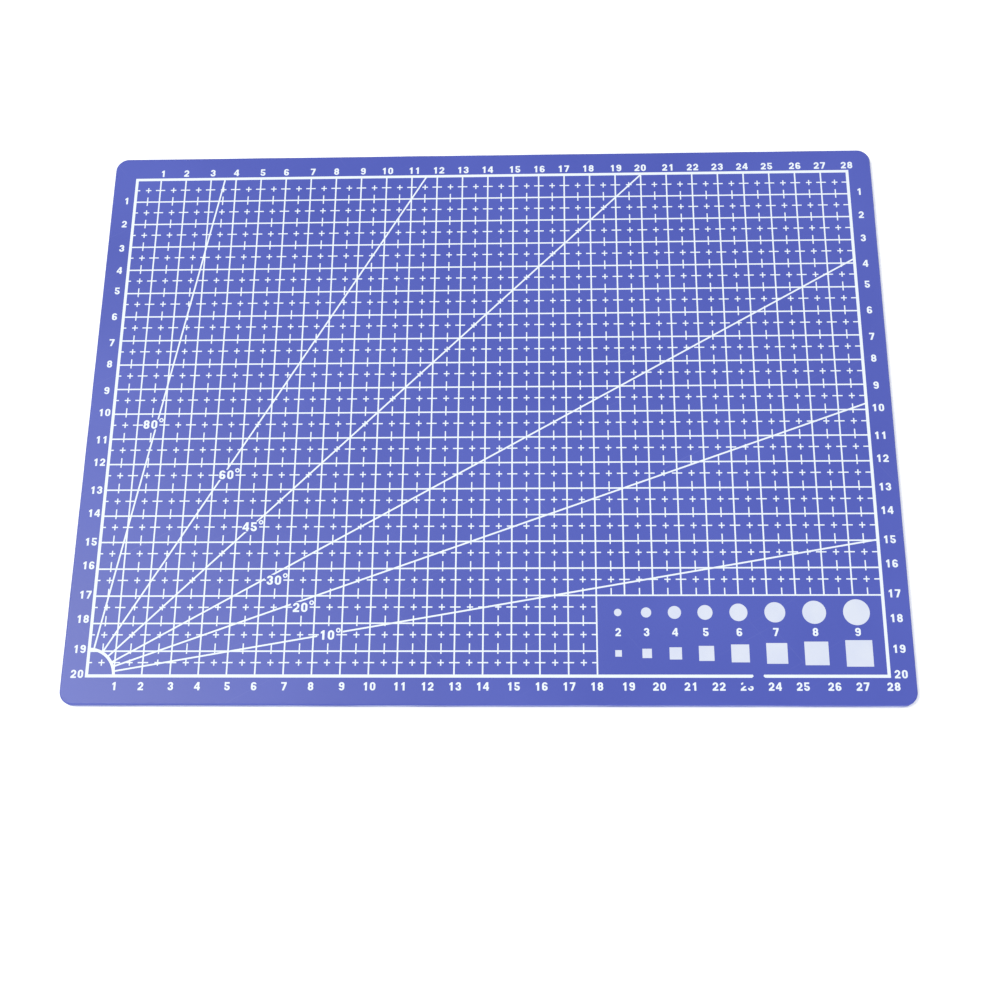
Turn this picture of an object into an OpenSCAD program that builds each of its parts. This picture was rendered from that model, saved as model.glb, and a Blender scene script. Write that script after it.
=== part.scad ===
// Self healing cutting mat: three bonded vinyl plies with a centimetre grid,
// an angle fan and a hole and stitch gauge printed on the top face.
// Origin: centre of the underside. +X runs along the long side, +Z is up.

/* [Mat] */
// Length of the mat, left to right
mat_w = 298.5; // [296:0.5:306]
// Width of the mat, front to back
mat_d = 218.5; // [216:0.5:226]
// Radius of the die-cut corners
corner_r = 5; // [1:0.5:12]
// Thickness of each soft skin, the top one and the bottom one
skin_t = 0.9; // [0.5:0.1:1.5]
// Thickness of the hard core sheet between the skins
core_t = 1.2; // [0.5:0.1:2]

/* [Printed grid] */
// Centimetres across the grid
cols = 28; // [20:1:28]
// Centimetres from back to front of the grid
rows = 20; // [12:1:20]
// How much of a true centimetre the border and rulers measure, front to back
print_scale = 0.994; // [0.99:0.001:1]
// Centre of the border to the right of the mat's centre
print_x = -0.1; // [-0.8:0.05:0.8]
// Centre of the border behind the mat's centre
print_y = 0.35; // [-0.8:0.05:0.8]
// How far the upright grid lines have slipped left of the border
grid_slip = 0.4; // [0:0.1:0.8]
// Width of the grid lines
line_w = 0.55; // [0.3:0.05:0.8]
// Width of the border line
border_w = 1.1; // [0.6:0.05:1.5]
// Thickness of the ink film
ink_t = 0.05; // [0.03:0.01:0.1]
// A small spot by the front border that the ink missed
missed_spot = true; // [true, false]

/* [Angle fan] */
// Width of the rays
ray_w = 0.6; // [0.3:0.05:0.8]
// Radius of the small arc around the fan's corner
arc_r = 9.55; // [6:0.05:14]
// Width of the arc's stroke
arc_w = 1.05; // [0.4:0.05:1.5]
// Height of the angle labels' digits
label_h = 3.4; // [2.6:0.1:4]

/* [Gauge chart] */
// Columns that the chart takes, at the front right corner
chart_cols = 10; // [10:1:12]
// Rows that the chart takes
chart_rows = 3; // [3:1:4]
// Smallest gauge size, which is also the first number in the chart
gauge_min = 2; // [1:1:3]
// Largest gauge size
gauge_max = 9; // [6:1:9]
// How much the ink spreads each disc and square beyond its size
ink_spread = 0.3; // [0:0.05:0.4]
// How much more it spreads the small discs
disc_spread = 0.35; // [0:0.05:0.4]

/* [Numerals] */
// Height of the ruler numerals
numeral_h = 2.9; // [2.4:0.1:3.2]
// Back numerals' centres behind the border line
back_off = 2.7; // [2.3:0.1:4.5]
// Front numerals' centres in front of the border line
front_off = 3.6; // [2.6:0.1:4.5]
// Left numerals' centres to the left of the border line
left_off = 3.45; // [3.1:0.05:5]
// Right numerals' centres to the right of the border line
right_off = 4.1; // [3.1:0.1:5]
// How far odd numerals stand beyond even ones along the side rulers
stagger = 1; // [0:0.1:1.2]

/* [Hidden] */
$fn = 48;

cell = 10;                      // one true centimetre
pitch_y = cell * print_scale;   // one centimetre of the side rulers, as printed
eps = 0.01;                     // overlap of parts that are joined or cut
mat_t = 2 * skin_t + core_t;
border_x = cols * cell;         // border rectangle, between the middles of its lines
border_y = rows * pitch_y;
chart_c = cols - chart_cols;    // first column of the chart
chart_r = rows - chart_rows;    // first row of the chart, counted from the back

skin_colour = [0.37, 0.41, 0.70];
core_colour = [0.80, 0.82, 0.88];
ink_colour = [0.94, 0.96, 0.99];

// Digits are drawn at this size about their own centre, then scaled
digit_w = 1.95;
digit_h = 2.9;
stem = 0.68;                    // upright strokes
bar = 0.56;                     // level strokes
digit_pitch = 2.5;              // between the two digits of a number

// Each ray: its angle in degrees, and the column and row, from the back, of its label's cell
fan = [[80, 1, 10], [60, 4, 12], [45, 5, 14], [30, 6, 16], [20, 7, 17], [10, 8, 18]];
label_at = [4.8, 4.2];          // label's centre from the left and the back of its cell
gap_left = 3.4;                 // bare patch around a label, from the label's centre
gap_right = 5.6;
gap_h = label_h + 0.6;
ring_dx = 4;                    // degree ring from the label's centre
ring_dy = 1.7;
ring_r = 0.85;                  // outside radius of the degree ring
ring_w = 0.45;

// Numerals of the long rulers were set in runs, each a little too tight: the number that
// starts each run, and how far it stands past its line
runs = [[1, 0.15], [3, 0.15], [5, 0.15], [7, 0.15], [9, 0.15], [11, 0.45], [15, 0.15],
    [19, -0.1], [21, 0.4], [26, -0.1], [28, 0.05]];
drop_small = 0.6;               // each numeral falls back this far from the one before it in
drop_large = 0.37;              // its run: below 10, and from 10 up
// Front numerals stand further right than the back ones: from which number, and how far
front_pushes = [[1, 0], [9, 0.25], [19, 0.35], [20, 1.4], [26, 1.2]];
// The first numerals of the side rulers stand this far in front of their lines
left_first = [-0.6, -0.3, 0.35, 0, -1.2];
right_first = [-0.9, -0.75, -0.7, 0.2, -1];
side_pitch = 9.88;              // the others are staggered at this pitch
side_lead = 0.97;

gauges = [gauge_min : gauge_max];
small_disc = 4;                 // largest of the small discs
gauge_first_x = 7.45;           // first gauge from the chart's left line
gauge_pitch = 9.95;             // between the small gauges
gauge_gap = 6.2;                // clear gap between the large ones
gauge_discs_y = 22.6;           // the chart's rows, behind the front border
gauge_numerals_y = 15.55;
gauge_squares_y = 8;

spot_x = (cols - 5) * cell;     // the missed spot's place along the front border

// ---- Flat shapes ----

module rounded_rect(w, d, r) {
    square([w - 2 * r, d], center = true);
    square([w, d - 2 * r], center = true);
    for (x = [-1, 1], y = [-1, 1])
        translate([x * (w / 2 - r), y * (d / 2 - r)]) circle(r);
}

// Round-ended shape, lying along its longer side
module stadium(w, h) {
    r = min(w, h) / 2;
    if (w == h) circle(r);
    else {
        square(w > h ? [w - 2 * r, h] : [w, h - 2 * r], center = true);
        for (s = [-1, 1]) translate([s * (w / 2 - r), s * (h / 2 - r)]) circle(r);
    }
}

module loop(w, h) {
    difference() {
        stadium(w, h);
        stadium(w - 2 * stem, h - 2 * bar);
    }
}

// ---- Digits, each centred on its own cell ----

lower_h = 1.76;                 // height of the lower bowl of 3, 5, 6 and 8
upper_h = digit_h - lower_h + bar;
lower_y = (lower_h - digit_h) / 2;
upper_y = (digit_h - upper_h) / 2;
right = digit_w / 2;
top = digit_h / 2;

module digit_0() {
    loop(digit_w, digit_h);
}

module digit_1() {
    polygon([[-0.15, -top], [stem - 0.15, -top], [stem - 0.15, top], [0.1, top],
        [-0.62, top - 0.5], [-0.62, top - 1.1], [-0.15, top - 0.85]]);
}

module digit_2() {
    difference() {
        translate([0, top - right]) loop(digit_w, digit_w);
        translate([-digit_w, top - right - digit_w]) square([2 * digit_w, digit_w]);
    }
    polygon([[-right, -top], [right, -top], [right, bar - top], [0, bar - top],
        [right - 0.1, 0], [right, top - right], [right - stem, top - right],
        [right - stem - 0.1, 0.1], [-right, bar - top]]);
}

module bowls() {
    translate([0, upper_y]) loop(digit_w - 0.1, upper_h);
    translate([0, lower_y]) loop(digit_w, lower_h);
}

module digit_3() {
    difference() {
        bowls();
        translate([-digit_w, lower_y + 0.1]) square([digit_w - 0.15, upper_y - lower_y - 0.1]);
    }
}

module digit_4() {
    difference() {
        polygon([[0.8 - stem, -top], [0.8, -top], [0.8, -0.85], [1.05, -0.85], [1.05, -0.3],
            [0.8, -0.3], [0.8, top], [0.1, top], [-1.05, -0.35], [-1.05, -0.85],
            [0.8 - stem, -0.85]]);
        polygon([[0.8 - stem, -0.3], [0.8 - stem, 0.6], [-0.45, -0.3]]);
    }
}

module digit_5() {
    difference() {
        translate([0, lower_y]) loop(digit_w, lower_h);
        translate([-digit_w, lower_y + 0.1]) square([digit_w - 0.15, 0.4]);
    }
    translate([-right + 0.1, top - bar]) square([digit_w - 0.25, bar]);
    translate([-right + 0.1, lower_y + 0.5]) square([bar, top - bar - lower_y]);
}

module digit_6() {
    translate([0, lower_y]) loop(digit_w, lower_h);
    difference() {
        loop(digit_w, digit_h);
        translate([0, lower_y]) square([digit_w, upper_y - lower_y + 0.1]);
    }
}

module digit_7() {
    polygon([[0.05 - stem, -top], [0.05, -top], [right, top - bar], [right, top], [-right, top],
        [-right, top - bar], [0.2, top - bar]]);
}

module digit(n) {
    if (n == 0) digit_0();
    if (n == 1) digit_1();
    if (n == 2) digit_2();
    if (n == 3) digit_3();
    if (n == 4) digit_4();
    if (n == 5) digit_5();
    if (n == 6) digit_6();
    if (n == 7) digit_7();
    if (n == 8) bowls();
    if (n == 9) rotate(180) digit_6();
}

// A whole number of one or two digits, centred on the origin
module number(n, h) {
    scale(h / digit_h)
        if (n < 10) digit(n);
        else {
            translate([-digit_pitch / 2, 0]) digit(floor(n / 10));
            translate([digit_pitch / 2, 0]) digit(n % 10);
        }
}

// ---- Plies ----

module sheet(t) {
    linear_extrude(t) rounded_rect(mat_w, mat_d, corner_r);
}

module bottom_skin() {
    color(skin_colour) sheet(skin_t);
}

module core_sheet() {
    color(core_colour) translate([0, 0, skin_t]) sheet(core_t);
}

module top_skin() {
    color(skin_colour) translate([0, 0, skin_t + core_t]) sheet(skin_t);
}

// ---- The print, measured in millimetres from the border's front left corner ----

module ink() {
    color(ink_colour)
        translate([print_x - border_x / 2, print_y - border_y / 2, mat_t])
            linear_extrude(ink_t) children();
}

function line_x(c) = c * cell - grid_slip;
function line_y(r) = border_y - r * cell;       // rows count from the back
function in_chart(c, r) = c >= chart_c && r >= chart_r;

// The area inside the border line
module field() {
    translate([border_w / 2, border_w / 2]) square([border_x - border_w, border_y - border_w]);
}

// Shape of the spot that the ink missed
module spot() {
    if (missed_spot)
        translate([spot_x, 0])
            polygon([[-1.7, -3.4], [3.2, -3.5], [4.6, -3], [6.2, -1.8], [7.7, -0.7], [6.9, 0],
                [7.2, 0.7], [3.2, 0.7], [3.5, 0], [2.8, -0.7], [1.2, -1.6], [-0.2, -2],
                [-0.2, -3], [-0.9, -3], [-1, -2.1], [-1.7, -2.1]]);
}

module border_line() {
    ink() difference() {
        translate([-border_w / 2, -border_w / 2])
            square([border_x + border_w, border_y + border_w]);
        field();
        spot();
    }
}

// One film of crossing lines: the area inside the border, less one opening per square
module grid_lines() {
    ink() difference() {
        field();
        for (c = [0 : cols - 1], r = [0 : rows - 1])
            if (!in_chart(c, r)) opening(c, c + 1, r, r + 1);
        opening(chart_c, cols, chart_r, rows);
    }
}

// The bare area between two columns and two rows of lines; at the border it reaches past the film
module opening(c0, c1, r0, r1) {
    left = c0 == 0 ? -eps : line_x(c0) + line_w / 2;
    right_side = c1 == cols ? border_x + eps : line_x(c1) - line_w / 2;
    back = r0 == 0 ? border_y + eps : line_y(r0) - line_w / 2;
    front = r1 == rows ? -eps : line_y(r1) + line_w / 2;
    translate([left, front]) square([right_side - left, back - front]);
}

// Rays that start at the arc, stop at the border and break at the grid lines and labels
module angle_lines() {
    ink() difference() {
        intersection() {
            field();
            union() for (f = fan)
                rotate(ray_angle(f[0]))
                    translate([0, -ray_w / 2]) square([border_x + border_y, ray_w]);
        }
        circle(arc_r + arc_w / 2);
        line_cuts();
        for (f = fan) translate(label_pos(f)) label_gap();
    }
}

// Angles are squeezed front to back like the rest of the border's print
function ray_angle(a) = atan(tan(a) * print_scale);
function label_pos(f) = [line_x(f[1]) + label_at[0], line_y(f[2]) - label_at[1]];

// The strips that the grid lines cover
module line_cuts() {
    for (c = [1 : cols - 1])
        translate([line_x(c) - line_w / 2, -eps]) square([line_w, border_y + 2 * eps]);
    for (r = [1 : rows - 1])
        translate([-eps, line_y(r) - line_w / 2]) square([border_x + 2 * eps, line_w]);
}

// Bare patch around a label
module label_gap() {
    translate([-gap_left, -gap_h / 2]) square([gap_left + gap_right, gap_h]);
    translate([ring_dx, ring_dy]) circle(ring_r + 0.3);
}

// Quarter ring around the fan's corner, broken where grid lines run through it
module corner_arc() {
    ink() difference() {
        intersection() {
            circle(arc_r + arc_w / 2);
            translate([border_w / 2, border_w / 2]) square(arc_r + arc_w);
        }
        circle(arc_r - arc_w / 2);
        line_cuts();
    }
}

module angle_labels() {
    ink() for (f = fan) translate(label_pos(f)) {
        number(f[0], label_h);
        translate([ring_dx, ring_dy]) difference() {
            circle(ring_r);
            circle(ring_r - ring_w);
        }
    }
}

// The last of a list's pairs that starts at n or before it
function pair_at(list, n) = let (found = [for (p = list) if (p[0] <= n) p]) found[len(found) - 1];
function run_drop(n) = (n - pair_at(runs, n)[0]) * (n < 10 ? drop_small : drop_large);
function long_x(n) = n * cell + pair_at(runs, n)[1] - run_drop(n);
function front_x(n) = long_x(n) + pair_at(front_pushes, n)[1];
function side_y(n, first) = border_y - (n <= len(first) ? n * cell + first[n - 1]
    : n * side_pitch + side_lead + (n % 2 == 1 ? 0.5 : -0.5) * stagger);

module numerals_back() {
    ink() for (n = [1 : cols])
        translate([long_x(n), border_y + back_off]) number(n, numeral_h);
}

module numerals_front() {
    ink() difference() {
        for (n = [1 : cols])
            translate([front_x(n), -front_off]) number(n, numeral_h);
        spot();
    }
}

module numerals_left() {
    ink() for (n = [1 : rows])
        translate([-left_off, side_y(n, left_first)]) number(n, numeral_h);
}

module numerals_right() {
    ink() for (n = [1 : rows])
        translate([border_x + right_off, side_y(n, right_first)]) number(n, numeral_h);
}

// Each gauge stands one pitch, or one clear gap if that is more, from the smaller one beside it
function gauge_x(n) = n == gauge_min ? line_x(chart_c) + gauge_first_x
    : gauge_x(n - 1) + max(gauge_pitch, gauge_gap + n - 0.5);

module gauge_discs() {
    ink() for (n = gauges)
        translate([gauge_x(n), gauge_discs_y])
            circle((n + ink_spread + (n <= small_disc ? disc_spread : 0)) / 2);
}

module gauge_numerals() {
    ink() for (n = gauges) translate([gauge_x(n), gauge_numerals_y]) number(n, numeral_h);
}

module gauge_squares() {
    ink() for (n = gauges)
        translate([gauge_x(n), gauge_squares_y]) square(n + ink_spread, center = true);
}

bottom_skin();
core_sheet();
top_skin();
border_line();
grid_lines();
angle_lines();
corner_arc();
angle_labels();
numerals_back();
numerals_front();
numerals_left();
numerals_right();
gauge_discs();
gauge_numerals();
gauge_squares();
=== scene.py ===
"""Looks for the self healing mat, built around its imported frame. All lengths are metres."""

import math
import random

import bmesh
import bpy
from mathutils import Euler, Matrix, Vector


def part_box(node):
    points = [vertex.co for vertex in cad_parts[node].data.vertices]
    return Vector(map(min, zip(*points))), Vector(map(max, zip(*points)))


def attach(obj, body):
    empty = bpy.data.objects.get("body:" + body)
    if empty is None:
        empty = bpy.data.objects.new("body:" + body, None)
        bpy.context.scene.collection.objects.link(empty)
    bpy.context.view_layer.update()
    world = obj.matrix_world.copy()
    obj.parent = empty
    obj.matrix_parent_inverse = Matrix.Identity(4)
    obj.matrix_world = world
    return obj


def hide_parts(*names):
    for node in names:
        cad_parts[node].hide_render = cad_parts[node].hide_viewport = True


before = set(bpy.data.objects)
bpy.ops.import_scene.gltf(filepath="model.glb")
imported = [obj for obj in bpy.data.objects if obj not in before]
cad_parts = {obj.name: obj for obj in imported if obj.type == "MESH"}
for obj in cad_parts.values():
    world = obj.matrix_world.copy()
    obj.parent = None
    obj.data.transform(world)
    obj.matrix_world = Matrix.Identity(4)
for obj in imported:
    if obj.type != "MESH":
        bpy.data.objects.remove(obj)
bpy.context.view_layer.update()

MM = 0.001

# ---- Sizes that come from the frame ----

base_lo, base_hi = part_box("bottom_skin")
core_lo, core_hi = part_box("core_sheet")
top_lo, top_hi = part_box("top_skin")
border_lo, border_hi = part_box("border_line")
grid_lo, grid_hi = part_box("grid_lines")

TOP_Z = top_hi.z
BORDER_W = (border_hi.x - border_lo.x - grid_hi.x + grid_lo.x) / 2
LEFT = border_lo.x + BORDER_W / 2           # middles of the border's lines
RIGHT = border_hi.x - BORDER_W / 2
BACK = border_hi.y - BORDER_W / 2

# ---- Sizes of the looks ----

COLS, ROWS = 28, 20
CHART_COL, CHART_ROW = 18, 17               # the gauge chart's first column, and row from the back
LABEL_CELLS = {(1, 10), (4, 12), (5, 14), (6, 16), (7, 17), (8, 18)}    # hold a degree number
CELL = 10 * MM
MARK_PITCH_X = (RIGHT - LEFT) / COLS        # the half-centimetre marks' own centimetre
MARK_PITCH_Y = 9.96 * MM
GRID_SLIP = 0.4 * MM                        # the upright grid lines stand this far left of true
MARK_SLIP_X = 0.1 * MM                      # the marks stand this far left
MARK_SLIP_Y = 0.15 * MM                     # and this far back
LINE_W = 0.55 * MM
MARK_W = 0.45 * MM
MARK_T = 0.046 * MM                         # a little thinner than the lines' film
CROSS_ARM = 1.1 * MM
DASH_REACH = 1.87 * MM
DASH_SHIFT = 0.07 * MM                      # the level dashes sit this far right of the lines
LEFT_STUB = 1.54 * MM                       # reach of the dashes at the side borders
RIGHT_STUB = 2.4 * MM

CORNER_R = 5 * MM                           # the outline's corners
CORNER_STEPS = 18                           # and how finely corners and sides are drawn
SIDE_STEP = 2.5 * MM
CUT_WANDER = 0.06 * MM                      # how far the cut runs off the outline
CUT_WAVES = 7                               # waves in that wander
ROLL_TOP, ROLL_LOW = 0.55 * MM, 0.2 * MM    # radii of the rolled edges
ROLL_STEPS = 6
NICK = 0.06 * MM                            # fine groove where two plies meet
CORE_IN, CORE_EDGE_IN = 0.06 * MM, 0.1 * MM    # the core's side and its edges, inside the outline
CORE_EDGE = 0.2 * MM                        # height of the core's slanted edges
RIM = 0.3 * MM                              # flat rim beyond a profile's last turn

FLOOR_GAP = 0.02 * MM                       # the floor lies this far under the mat
FLOOR_REACH = 6.0
# Painted light: the floor glows though it is no lamp, which lifts the mat's shadow and whitens the
# far floor
GLOW_START, GLOW_END = 500, 2500            # millimetres from the mat's middle
GLOW_NEAR, GLOW_FAR = 0.15, 0.6             # the floor's glow at those distances
WORLD_LIGHT, WORLD_SEEN = 0.57, 1.1         # the surroundings as light, and as the camera sees them
PALE = (0.97, 0.98, 1, 1)

DOMES_PER_MM = 2.6                          # the skin's pressed grain
HAIRLINE_LENGTH = 80                        # millimetres

CAMERA_PLACE = (0.02170, -0.18110, 0.45900)
CAMERA_TURN = (17.81, 1.955, 0.38)          # degrees
LENS, SENSOR = 47.5, 36.0                   # millimetres


# ---- Node helpers ----

def add(tree, kind, inputs=None, **settings):
    """Adds a shader node. An input is a value or another node's output."""
    made = tree.nodes.new(kind)
    for key, value in settings.items():
        setattr(made, key, value)
    for key, value in (inputs or {}).items():
        if isinstance(value, bpy.types.NodeSocket):
            tree.links.new(value, made.inputs[key])
        else:
            made.inputs[key].default_value = value
    return made


def srgb(red, green, blue):
    """A screen colour, 0 to 255, as the linear colour that Blender wants."""
    def linear(c):
        c /= 255
        return c / 12.92 if c <= 0.04045 else ((c + 0.055) / 1.055) ** 2.4
    return (linear(red), linear(green), linear(blue), 1.0)


def new_material(name):
    """An empty material, its Principled shader and the object's coordinates in millimetres."""
    material = bpy.data.materials.new(name)
    material.use_nodes = True
    tree = material.node_tree
    tree.nodes.clear()
    shader = add(tree, "ShaderNodeBsdfPrincipled")
    add(tree, "ShaderNodeOutputMaterial", {"Surface": shader.outputs["BSDF"]})
    place = add(tree, "ShaderNodeTexCoord").outputs["Object"]
    scaled = add(tree, "ShaderNodeVectorMath", {0: place, "Scale": 1 / MM}, operation="SCALE")
    return material, tree, shader, scaled.outputs[0]


def noise(tree, place, size, detail=2.0, rough=0.5):
    """Soft noise, 0 to 1, whose features are about size millimetres across."""
    return add(tree, "ShaderNodeTexNoise", {
        "Vector": place, "Scale": 1 / size, "Detail": detail, "Roughness": rough,
    }).outputs["Fac"]


def math_node(tree, operation, first, second=0.0, third=0.0):
    """The output of a sum over values or other nodes' outputs."""
    return add(tree, "ShaderNodeMath", {0: first, 1: second, 2: third},
               operation=operation).outputs[0]


def remap(tree, value, low, high, to_low, to_high):
    """value from low..high to to_low..to_high, and no further."""
    return add(tree, "ShaderNodeMapRange", {
        "Value": value, "From Min": low, "From Max": high, "To Min": to_low, "To Max": to_high,
    }).outputs["Result"]


def mix(tree, factor, first, second):
    """A colour mix. Sockets 0, 6 and 7 are the factor and the two colours."""
    return add(tree, "ShaderNodeMix", {0: factor, 6: first, 7: second},
               data_type="RGBA").outputs[2]


def grain(tree, place):
    """Height of the skin's fine pressed grain: small domes broken up by noise."""
    domes = add(tree, "ShaderNodeTexVoronoi", {"Vector": place, "Scale": DOMES_PER_MM},
                feature="F1").outputs["Distance"]
    return math_node(tree, "MULTIPLY_ADD", noise(tree, place, size=0.14), 0.55, domes)


def scratches(tree, place, angle, width, rarity):
    """Rare straight hairlines lying along one angle, 0 to 1. The width is in millimetres."""
    laid = add(tree, "ShaderNodeMapping", {
        "Vector": place, "Rotation": (0, 0, angle), "Scale": (HAIRLINE_LENGTH, width, 1),
    }, vector_type="TEXTURE").outputs["Vector"]
    lines = add(tree, "ShaderNodeTexNoise", {"Vector": laid, "Scale": 1.0, "Detail": 1.0})
    return remap(tree, lines.outputs["Fac"], rarity, rarity + 0.06, 0.0, 1.0)


# ---- Materials ----

def skin_material(name, deep, light):
    """Matte violet-blue vinyl with a pressed grain, faint mottling and faint rubbed hairlines."""
    material, tree, shader, place = new_material(name)
    broad = noise(tree, place, size=60)
    fine = noise(tree, place, size=0.7, detail=3, rough=0.6)
    colour = mix(tree, remap(tree, broad, 0.3, 0.7, 0, 1), deep, light)
    colour = mix(tree, remap(tree, fine, 0.3, 0.7, 0, 0.16), colour, light)
    rubs = math_node(tree, "MAXIMUM",
                     scratches(tree, place, angle=0.5, width=0.5, rarity=0.70),
                     scratches(tree, place, angle=-0.9, width=0.7, rarity=0.72))
    colour = mix(tree, math_node(tree, "MULTIPLY", rubs, 0.04), colour, srgb(190, 196, 232))
    tree.links.new(colour, shader.inputs["Base Color"])
    rough = math_node(tree, "MULTIPLY_ADD", broad, 0.08, 0.40)
    rough = math_node(tree, "MULTIPLY_ADD", rubs, -0.03, rough)
    tree.links.new(rough, shader.inputs["Roughness"])
    bump = add(tree, "ShaderNodeBump", {
        "Height": grain(tree, place), "Strength": 0.5, "Distance": 0.03 * MM,
    })
    tree.links.new(bump.outputs["Normal"], shader.inputs["Normal"])
    shader.inputs["Specular IOR Level"].default_value = 0.5
    return material


def core_material(name):
    """Pale hard vinyl, seen only at the cut edge, with the knife's fine level striations."""
    material, tree, shader, place = new_material(name)
    levels = add(tree, "ShaderNodeMapping", {"Vector": place, "Scale": (0.15, 0.15, 14)})
    cut = add(tree, "ShaderNodeTexNoise", {
        "Vector": levels.outputs["Vector"], "Scale": 1.0, "Detail": 3.0,
    }).outputs["Fac"]
    cloudy = noise(tree, place, size=9)
    colour = mix(tree, remap(tree, cloudy, 0.3, 0.7, 0, 1), srgb(190, 200, 228), srgb(172, 184, 218))
    colour = mix(tree, remap(tree, cut, 0.45, 0.75, 0, 0.5), colour, srgb(146, 158, 206))
    tree.links.new(colour, shader.inputs["Base Color"])
    tree.links.new(remap(tree, cut, 0.3, 0.7, 0.45, 0.7), shader.inputs["Roughness"])
    bump = add(tree, "ShaderNodeBump", {"Height": cut, "Strength": 0.6, "Distance": 0.03 * MM})
    tree.links.new(bump.outputs["Normal"], shader.inputs["Normal"])
    shader.inputs["Subsurface Weight"].default_value = 0.15
    shader.inputs["Subsurface Radius"].default_value = (0.4 * MM, 0.4 * MM, 0.5 * MM)
    return material


def ink_material(name, full, thin, thinness):
    """Screen-printed ink: the mesh's weave and pinholes let some of the skin's blue through."""
    material, tree, shader, place = new_material(name)
    weave = add(tree, "ShaderNodeTexWave", {"Vector": place, "Scale": 1.1, "Distortion": 1.5},
                wave_type="BANDS", bands_direction="DIAGONAL").outputs["Fac"]
    speckle = noise(tree, place, size=0.22, detail=3, rough=0.65)
    cloudy = noise(tree, place, size=7)
    holes = remap(tree, speckle, 0.60, 0.72, 0, 1)
    patchy = math_node(tree, "MULTIPLY_ADD", weave, 0.25, remap(tree, cloudy, 0.3, 0.7, 0.2, 0.75))
    shown = math_node(tree, "MULTIPLY", math_node(tree, "MAXIMUM", patchy, holes), thinness)
    tree.links.new(mix(tree, shown, full, thin), shader.inputs["Base Color"])
    tree.links.new(remap(tree, speckle, 0.3, 0.7, 0.5, 0.65), shader.inputs["Roughness"])
    shader.inputs["Specular IOR Level"].default_value = 0.35
    bump = add(tree, "ShaderNodeBump", {
        "Height": grain(tree, place), "Strength": 0.35, "Distance": 0.02 * MM,
    })
    tree.links.new(bump.outputs["Normal"], shader.inputs["Normal"])
    return material


def floor_material():
    """Plain pale card that also glows as painted light, though it is no lamp. Its glow softens the
    mat's shadow and meets the backdrop far away.
    """
    material, tree, shader, place = new_material("floor_card_painted_glow")
    away = add(tree, "ShaderNodeVectorMath", {0: place}, operation="LENGTH").outputs["Value"]
    # Painted light: the floor's own glow, faint near the mat and stronger far away
    glow = remap(tree, away, GLOW_START, GLOW_END, GLOW_NEAR, GLOW_FAR)
    tree.links.new(glow, shader.inputs["Emission Strength"])
    shader.inputs["Emission Color"].default_value = PALE
    tone = mix(tree, noise(tree, place, size=400), srgb(246, 247, 250), srgb(249, 250, 252))
    tree.links.new(tone, shader.inputs["Base Color"])
    shader.inputs["Roughness"].default_value = 0.9
    shader.inputs["Specular IOR Level"].default_value = 0.2
    return material


# ---- Plies ----

def outline():
    """The mat's outline from above, anticlockwise: each point with its outward direction."""
    half_x = (top_hi.x - top_lo.x) / 2 - CORNER_R
    half_y = (top_hi.y - top_lo.y) / 2 - CORNER_R
    corners = [(half_x, half_y), (-half_x, half_y), (-half_x, -half_y), (half_x, -half_y)]
    points = []
    for turn, (x, y) in enumerate(corners):
        for step in range(CORNER_STEPS + 1):
            angle = math.pi / 2 * (turn + step / CORNER_STEPS)
            out = Vector((math.cos(angle), math.sin(angle)))
            points.append((Vector((x, y)) + out * CORNER_R, out))
        start, out = points[-1]
        after = corners[(turn + 1) % len(corners)]
        end = Vector(after) + out * CORNER_R
        count = round((end - start).length / SIDE_STEP)
        points += [(start.lerp(end, i / count), out) for i in range(1, count)]
    return points


OUTLINE = outline()


def wobble(seed, size):
    """How far the cut runs off its line at each outline point: a few seeded waves."""
    rng = random.Random(seed)
    waves = [(rng.randint(5, 60), rng.uniform(0, 2 * math.pi), rng.uniform(0.4, 1))
             for _ in range(CUT_WAVES)]
    total = sum(height for _, _, height in waves)
    turn = 2 * math.pi / len(OUTLINE)
    return [size * sum(height * math.sin(count * turn * i + phase)
                       for count, phase, height in waves) / total
            for i in range(len(OUTLINE))]


def mesh_object(name, bm):
    """A scene object made from a bmesh, which is used up."""
    mesh = bpy.data.meshes.new(name)
    bm.normal_update()
    bm.to_mesh(mesh)
    bm.free()
    made = bpy.data.objects.new(name, mesh)
    bpy.context.scene.collection.objects.link(made)
    return made


def ply(name, profile, seed, node, material):
    """A closed sheet: the outline swept up a profile of (inset, height) and capped flat."""
    run = wobble(seed, CUT_WANDER)
    bm = bmesh.new()
    rings = []
    for inset, z in profile:
        rings.append([bm.verts.new((*(point + out * (off - inset)), z))
                      for (point, out), off in zip(OUTLINE, run)])
    for low, high in zip(rings, rings[1:]):
        for i in range(len(OUTLINE)):
            j = (i + 1) % len(OUTLINE)
            bm.faces.new((low[i], low[j], high[j], high[i]))
    bm.faces.new(list(reversed(rings[0])))
    bm.faces.new(rings[-1])
    for face in bm.faces:
        face.smooth = True
    made = mesh_object(name, bm)
    made.data.materials.append(material)
    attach(made, "root")
    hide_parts(node)


def rounded(radius, z, rising):
    """Profile points of an edge rounded by radius: the top edge, or the bottom one when rising."""
    points = []
    for step in range(ROLL_STEPS + 1):
        angle = math.pi / 2 * step / ROLL_STEPS
        inset = radius * (1 - math.cos(angle))
        height = radius * (1 - math.sin(angle))
        points.append((inset, z + height if rising else z - height))
    return list(reversed(points)) if rising else points


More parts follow.
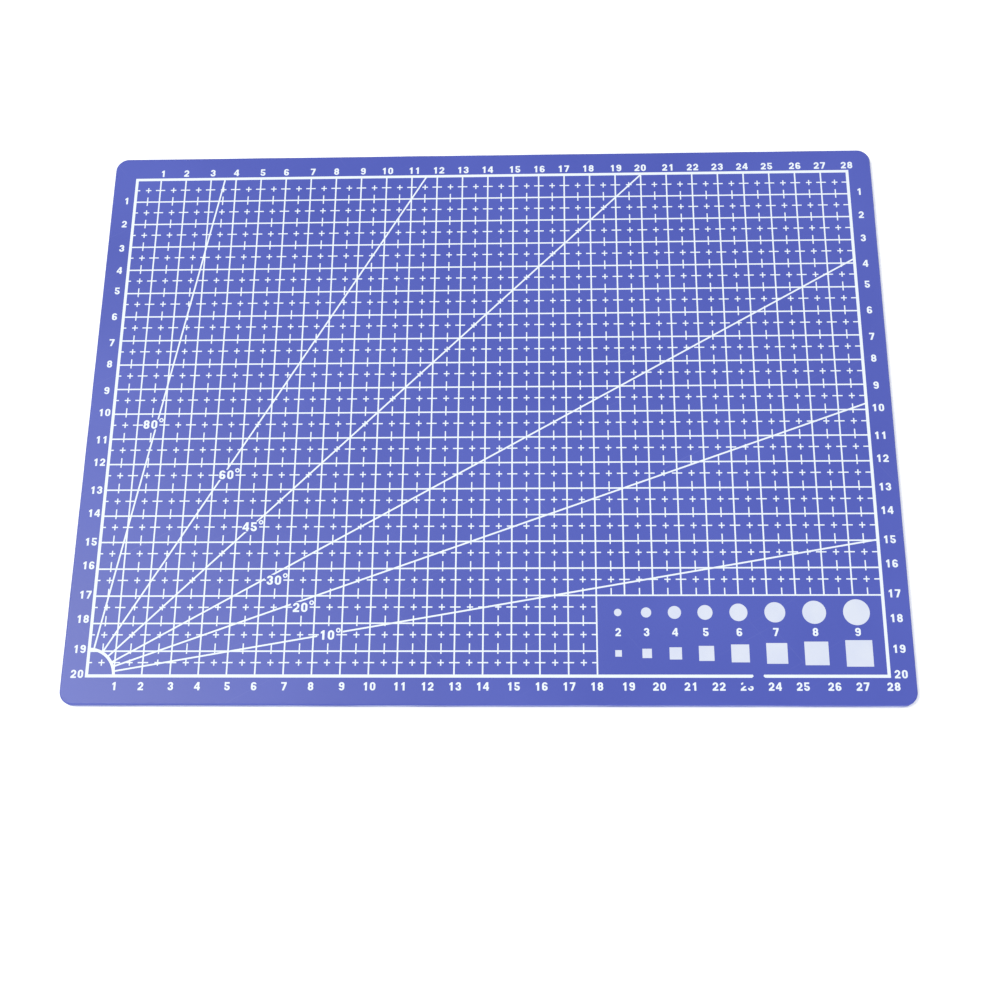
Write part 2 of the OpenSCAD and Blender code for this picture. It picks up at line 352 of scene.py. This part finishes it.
def build_plies(skin, core):
    lower = [(ROLL_LOW + RIM, base_lo.z), *rounded(ROLL_LOW, base_lo.z, True),
             (0, base_hi.z - NICK), (NICK, base_hi.z), (NICK + RIM, base_hi.z)]
    middle = [(CORE_EDGE_IN + RIM, core_lo.z), (CORE_EDGE_IN, core_lo.z),
              (CORE_IN, core_lo.z + CORE_EDGE), (CORE_IN, core_hi.z - CORE_EDGE),
              (CORE_EDGE_IN, core_hi.z), (CORE_EDGE_IN + RIM, core_hi.z)]
    upper = [(NICK + RIM, top_lo.z), (NICK, top_lo.z), (0, top_lo.z + NICK),
             *rounded(ROLL_TOP, top_hi.z, False), (ROLL_TOP + RIM, top_hi.z)]
    ply("bottom_skin_ply", lower, seed=11, node="bottom_skin", material=skin)
    ply("core_ply", middle, seed=12, node="core_sheet", material=core)
    ply("top_skin_ply", upper, seed=13, node="top_skin", material=skin)


# ---- Half-centimetre marks ----

def film(bm, points):
    """A closed piece of ink film over an anticlockwise outline."""
    low = [bm.verts.new((x, y, TOP_Z)) for x, y in points]
    high = [bm.verts.new((x, y, TOP_Z + MARK_T)) for x, y in points]
    bm.faces.new(list(reversed(low)))
    bm.faces.new(high)
    for i in range(len(points)):
        j = (i + 1) % len(points)
        bm.faces.new((low[i], low[j], high[j], high[i]))


def film_box(bm, x0, x1, y0, y1):
    """A rectangle of ink film."""
    film(bm, [(x0, y0), (x1, y0), (x1, y1), (x0, y1)])


def film_cross(bm, x, y):
    """A plus sign: one arm's three corners, then each next arm's a quarter turn on."""
    half = MARK_W / 2
    corners = [(half, half), (half, CROSS_ARM), (-half, CROSS_ARM)]
    points = []
    for _ in range(4):
        points += [(x + dx, y + dy) for dx, dy in corners]
        corners = [(-dy, dx) for dx, dy in corners]
    film(bm, points)


def in_chart(col, row):
    """Whether a cell is under the gauge chart, which has no marks."""
    return col >= CHART_COL and row >= CHART_ROW


def line_x(col):
    """Middle of the upright line at the left of a column."""
    return LEFT + col * CELL - GRID_SLIP


def line_y(row):
    """Middle of the level line at the back of a row."""
    return BACK - row * CELL


def mark_x(col):
    """Half-centimetre position across a column."""
    return LEFT + (col + 0.5) * MARK_PITCH_X - MARK_SLIP_X


def mark_y(row):
    """Half-centimetre position across a row."""
    return BACK - (row + 0.5) * MARK_PITCH_Y + MARK_SLIP_Y


def mark_piece(name, bm, ink):
    made = mesh_object(name, bm)
    made.data.materials.append(ink)
    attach(made, "root")


def build_crosses(ink):
    bm = bmesh.new()
    for col in range(COLS):
        for row in range(ROWS):
            if not in_chart(col, row) and (col, row) not in LABEL_CELLS:
                film_cross(bm, mark_x(col), mark_y(row))
    mark_piece("half_cm_crosses", bm, ink)


def upright_line_dashes(bm):
    """Level dashes over the upright lines and inside the side borders, in two stubs each."""
    half = MARK_W / 2
    for row in range(ROWS):
        y = mark_y(row)
        film_box(bm, LEFT + BORDER_W / 2, LEFT + LEFT_STUB, y - half, y + half)
        if row < CHART_ROW:
            film_box(bm, RIGHT - RIGHT_STUB, RIGHT - BORDER_W / 2, y - half, y + half)
        for col in range(1, COLS):
            x = line_x(col)
            middle = x + DASH_SHIFT
            if not in_chart(col - 1, row):
                film_box(bm, middle - DASH_REACH, x - LINE_W / 2, y - half, y + half)
            if not in_chart(col, row):
                film_box(bm, x + LINE_W / 2, middle + DASH_REACH, y - half, y + half)


def level_line_dashes(bm):
    """Upright dashes over the level lines, in two stubs each."""
    half = MARK_W / 2
    for row in range(1, ROWS):
        y = line_y(row)
        middle = BACK - row * MARK_PITCH_Y + MARK_SLIP_Y
        for col in range(COLS):
            x = mark_x(col)
            if not in_chart(col, row - 1):
                film_box(bm, x - half, x + half, y + LINE_W / 2, middle + DASH_REACH)
            if not in_chart(col, row):
                film_box(bm, x - half, x + half, middle - DASH_REACH, y - LINE_W / 2)


def build_dashes(ink):
    bm = bmesh.new()
    upright_line_dashes(bm)
    level_line_dashes(bm)
    mark_piece("half_cm_dashes", bm, ink)


# ---- The print that comes from the frame ----

def finish_print(ink, gauge_ink):
    """Gives every printed node its ink. The plies have been replaced."""
    gauges = {"gauge_discs", "gauge_squares"}
    plies = {"bottom_skin", "core_sheet", "top_skin"}
    for name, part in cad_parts.items():
        if name not in plies:
            for holder in part.material_slots:
                holder.material = gauge_ink if name in gauges else ink


# ---- Stage ----

def area_light(name, place, aim, size, power, colour):
    lamp = bpy.data.lights.new(name, "AREA")
    lamp.shape = "RECTANGLE"
    lamp.size, lamp.size_y = size
    lamp.energy = power
    lamp.color = colour
    made = bpy.data.objects.new(name, lamp)
    made.location = place
    made.rotation_euler = (Vector(aim) - Vector(place)).to_track_quat("-Z", "Y").to_euler()
    bpy.context.scene.collection.objects.link(made)


def build_lights():
    area_light("key", place=(-1.20, 0.08, 2.2), aim=(0, 0, 0), size=(0.8, 0.8),
               power=40, colour=(1, 1, 0.83))
    area_light("fill", place=(1.4, 0.9, 1.6), aim=(0, 0, 0), size=(1.2, 1.2),
               power=8, colour=(1, 1, 1))
    area_light("front", place=(0.1, -1.4, 0.45), aim=(0, -0.1, 0), size=(1.8, 0.4),
               power=7, colour=(0.92, 0.96, 1))


def build_floor():
    reach, z = FLOOR_REACH, base_lo.z - FLOOR_GAP
    corners = ((-reach, -reach), (reach, -reach), (reach, reach), (-reach, reach))
    bm = bmesh.new()
    bm.faces.new([bm.verts.new((x, y, z)) for x, y in corners])
    floor = mesh_object("floor", bm)
    floor.data.materials.append(floor_material())


def build_world():
    """Even pale surroundings: one strength for lighting, another for what the camera sees."""
    world = bpy.data.worlds.new("studio")
    bpy.context.scene.world = world
    world.use_nodes = True
    tree = world.node_tree
    tree.nodes.clear()
    seen = add(tree, "ShaderNodeLightPath").outputs["Is Camera Ray"]
    strength = remap(tree, seen, 0, 1, WORLD_LIGHT, WORLD_SEEN)
    sky = add(tree, "ShaderNodeBackground", {"Color": PALE, "Strength": strength})
    add(tree, "ShaderNodeOutputWorld", {"Surface": sky.outputs["Background"]})


def build_camera():
    lens = bpy.data.cameras.new("camera")
    lens.lens = LENS
    lens.sensor_width = SENSOR
    camera = bpy.data.objects.new("camera", lens)
    camera.location = CAMERA_PLACE
    camera.rotation_euler = Euler([math.radians(angle) for angle in CAMERA_TURN])
    bpy.context.scene.collection.objects.link(camera)
    bpy.context.scene.camera = camera


skin_vinyl = skin_material("skin_vinyl", srgb(61, 74, 169), srgb(69, 82, 177))
core_vinyl = core_material("core_vinyl")
line_ink = ink_material("line_ink", srgb(224, 231, 242), srgb(190, 201, 233), 0.25)
solid_ink = ink_material("solid_ink", srgb(208, 213, 230), srgb(184, 192, 226), 0.5)

build_plies(skin_vinyl, core_vinyl)
build_crosses(line_ink)
build_dashes(line_ink)
finish_print(line_ink, solid_ink)

build_floor()
build_world()
build_lights()
build_camera()
bpy.context.scene.view_settings.view_transform = "Standard"
